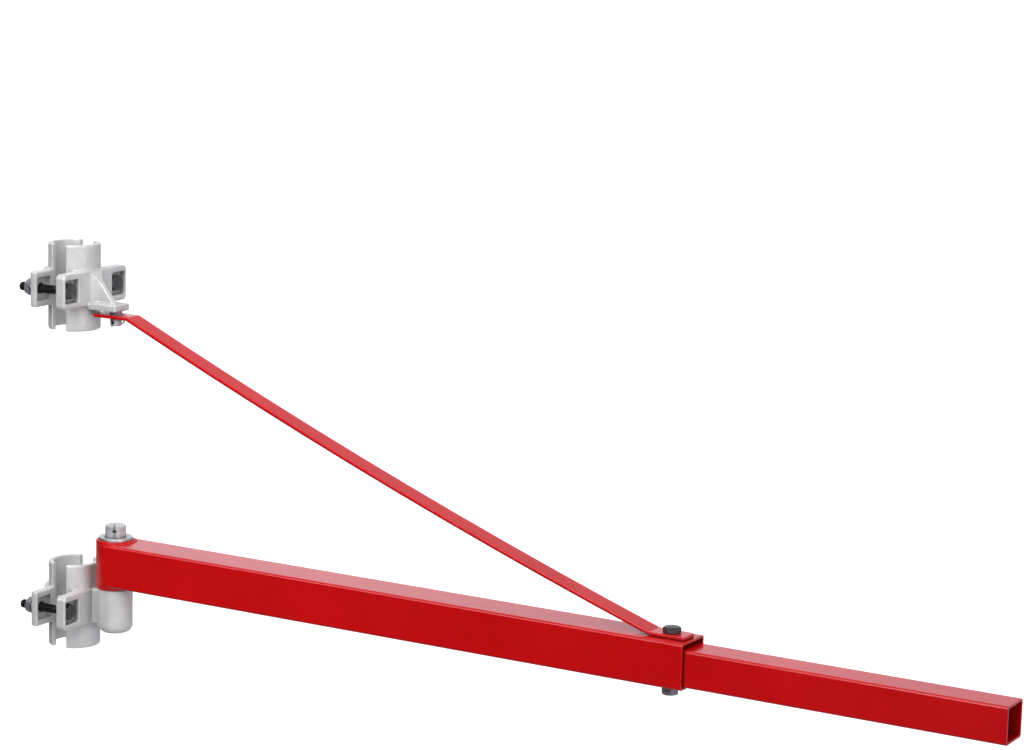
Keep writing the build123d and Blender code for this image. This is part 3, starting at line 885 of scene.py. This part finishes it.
for clamp in ("lower", "upper"):
    softened_casting(clamp + "_clamp_front")
    softened_casting(clamp + "_clamp_back")
for group in ("lower_right", "lower_left", "upper_right", "upper_left", "tie"):
    threaded_bolt(group + "_bolt", BOLT)
    countersunk_nut(group + "_nut", BOLT)
    stamped_washer(group + "_washer")
    split_washer(group + "_spring_washer")
threaded_bolt("stop_bolt", STOP_BOLT)
countersunk_nut("stop_nut", STOP_BOLT)
stamped_washer("pivot_washer")
eye_axis, eye_radius = eye_ring()
eased("arm_tube", TUBE_EDGE, held=False, start=eye_axis + eye_radius + WELD_LEG * MM)
eased("extension_tube", TUBE_EDGE, held=False)
eased("tie_strap", STRAP_EDGE, held=False)
for turned in ("pivot_post", "strap_pin"):
    eased(turned, TURNED_EDGE)
eased("arm_eye", TURNED_EDGE, "weld_paint")
weld_runs("eye_weld")
split_pin("pivot_cotter", "pivot_post", POST_COTTER_TURN, COTTER_LEG * MM)
strap_low, strap_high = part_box("strap_cotter")
split_pin("strap_cotter", "strap_pin", 0, (strap_high.z - strap_low.z) / 2)


# Stage: floor, studio light and camera

def make_floor():
    """Wide pale floor under the part."""
    work = bmesh.new()
    bmesh.ops.create_grid(work, x_segments=2, y_segments=2, size=FLOOR_SIZE / 2)
    floor = to_object("floor", work)
    floor.location.z = -FLOOR_DROP * MM
    material, tree, shader, at = new_material("floor")
    pale = mixed(tree, noise_of(tree, at, cells=1.5), *FLOOR_TONES)
    tree.links.new(pale, shader.inputs["Base Color"])
    tree.links.new(pale, shader.inputs["Emission Color"])
    shader.inputs["Emission Strength"].default_value = FLOOR_GLOW
    shader.inputs["Roughness"].default_value = FLOOR_ROUGHNESS
    floor.data.materials.append(material)
    floor.visible_glossy = False
    floor.visible_diffuse = False


def towards(tree, side, spread, far, near):
    """Value that changes from far to near over a spread of angles about a direction."""
    dot = tree.nodes.new("ShaderNodeVectorMath")
    dot.operation = "DOT_PRODUCT"
    dot.inputs[1].default_value = Vector(side).normalized()
    tree.links.new(tree.nodes.new("ShaderNodeTexCoord").outputs["Generated"], dot.inputs[0])
    limits = [cos(radians(angle)) for angle in spread]
    return remap(tree, dot.outputs["Value"], *limits, far, near)


def make_world():
    """Pale studio: a bright wall behind the part, a dark left side and a small lamp high on that side."""
    world = bpy.data.worlds.new("studio")
    world.use_nodes = True
    tree = world.node_tree
    wall = towards(tree, WALL_SIDE, WALL_SPREAD, STUDIO_LIGHT, WALL_LIGHT)
    shade = towards(tree, SHADE_SIDE, SHADE_SPREAD, 1, SHADE_LIGHT)
    glint = towards(tree, GLINT_SIDE, GLINT_SPREAD, 0, GLINT_LIGHT)
    light = math_of(tree, "ADD", math_of(tree, "MULTIPLY", wall, shade), glint)
    background = tree.nodes["Background"]
    background.inputs["Color"].default_value = (*STUDIO_TINT, 1)
    tree.links.new(light, background.inputs["Strength"])
    bpy.context.scene.world = world


def area_light(name, place, target, size, power, spread, mirrored):
    """Square soft light at a place, turned to a target, and mirrored by the part or not."""
    lamp = bpy.data.lights.new(name, "AREA")
    lamp.size = size
    lamp.energy = power
    lamp.spread = radians(spread)
    light = bpy.data.objects.new(name, lamp)
    light.location = place
    light.visible_glossy = mirrored
    light.rotation_euler = (Vector(target) - Vector(place)).to_track_quat("-Z", "Y").to_euler()
    bpy.context.scene.collection.objects.link(light)


def make_camera():
    """Camera at the fitted viewpoint."""
    yaw = radians(CAMERA_YAW)
    pitch = radians(CAMERA_PITCH)
    roll = radians(CAMERA_ROLL)
    forward = Vector((-sin(yaw) * cos(pitch), cos(yaw) * cos(pitch), -sin(pitch)))
    right = Vector((cos(yaw), sin(yaw), 0))
    up = right.cross(forward)
    rolled_right = cos(roll) * right + sin(roll) * up
    rolled_up = cos(roll) * up - sin(roll) * right
    data = bpy.data.cameras.new("camera")
    data.sensor_width = SENSOR_WIDTH
    data.lens = CAMERA_FOCAL / IMAGE_WIDTH * SENSOR_WIDTH
    data.clip_end = CAMERA_REACH
    camera = bpy.data.objects.new("camera", data)
    turn = Matrix((rolled_right, rolled_up, -forward)).transposed().to_4x4()
    camera.matrix_world = Matrix.Translation(Vector(CAMERA_PLACE) * MM) @ turn
    bpy.context.scene.collection.objects.link(camera)
    bpy.context.scene.camera = camera


make_floor()
make_world()
for settings in LIGHTS:
    area_light(*settings)
make_camera()
bpy.context.scene.view_settings.view_transform = "Standard"
